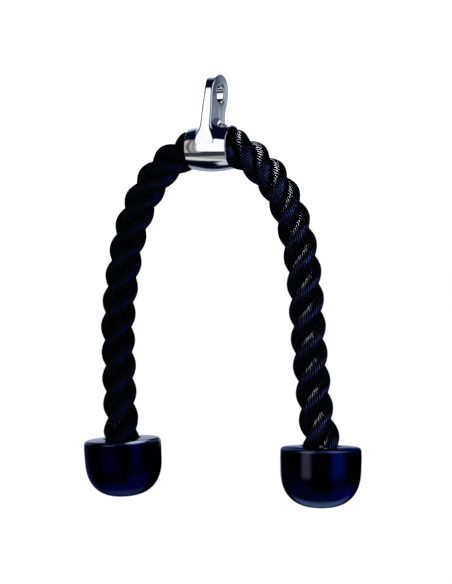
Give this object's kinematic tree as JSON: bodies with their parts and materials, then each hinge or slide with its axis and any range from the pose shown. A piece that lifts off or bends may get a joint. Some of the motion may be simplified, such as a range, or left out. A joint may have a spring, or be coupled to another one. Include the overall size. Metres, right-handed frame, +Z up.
{
  "type": "triceps rope attachment",
  "caption": "Cable-machine triceps rope: a thick laid rope bent through the barrel of an upright eye connector, with a moulded dome cap on each end.",
  "frame": {"origin": "centre of the eye hole, midway through the eye plate, where the cable's hook holds the part", "axes": "+Z up, away from the caps; +X along the barrel and the eye hole's axis, towards the right arm, which the picture shows nearer; +Y away from the pictured side"},
  "size_m": [0.2528, 0.0684, 0.365],
  "materials": {
    "chrome_casting": "polished",
    "laid_rope": "satin",
    "moulded_cap": "gloss",
    "plated_steel": "satin"
  },
  "bodies": {
    "connector": {"eye_connector": "chrome_casting"},
    "rope_core": {"rope_middle": "laid_rope", "left_rope_bend": "laid_rope", "right_rope_bend": "laid_rope"},
    "left_arm": {"left_rope_arm": "laid_rope", "left_end_cap": "moulded_cap", "left_cap_plug": "moulded_cap", "left_rope_ferrule": "plated_steel", "left_cap_screw": "plated_steel", "left_cap_washer": "plated_steel"},
    "right_arm": {"right_rope_arm": "laid_rope", "right_end_cap": "moulded_cap", "right_cap_plug": "moulded_cap", "right_rope_ferrule": "plated_steel", "right_cap_screw": "plated_steel", "right_cap_washer": "plated_steel"}
  },
  "joints": [
    {"name": "rope_turn", "type": "hinge", "parent": "connector", "child": "rope_core", "pos_m": [0, -0.00515, -0.04521], "axis": [1, 0, 0], "range_deg": [-90, 90]},
    {"name": "left_arm_swing", "type": "hinge", "parent": "rope_core", "child": "left_arm", "pos_m": [-0.037, -0.00515, -0.055], "axis": [0, 1, 0], "range_deg": [-11, 45], "stiffness_Nm_per_rad": 1.5, "springref_deg": 3.65, "deforming": ["left_rope_bend"]},
    {"name": "right_arm_swing", "type": "hinge", "parent": "rope_core", "child": "right_arm", "pos_m": [0.037, -0.00515, -0.0562], "axis": [0, -1, 0], "range_deg": [-11, 45], "stiffness_Nm_per_rad": 1.5, "springref_deg": 4.3, "deforming": ["right_rope_bend"]}
  ]
}
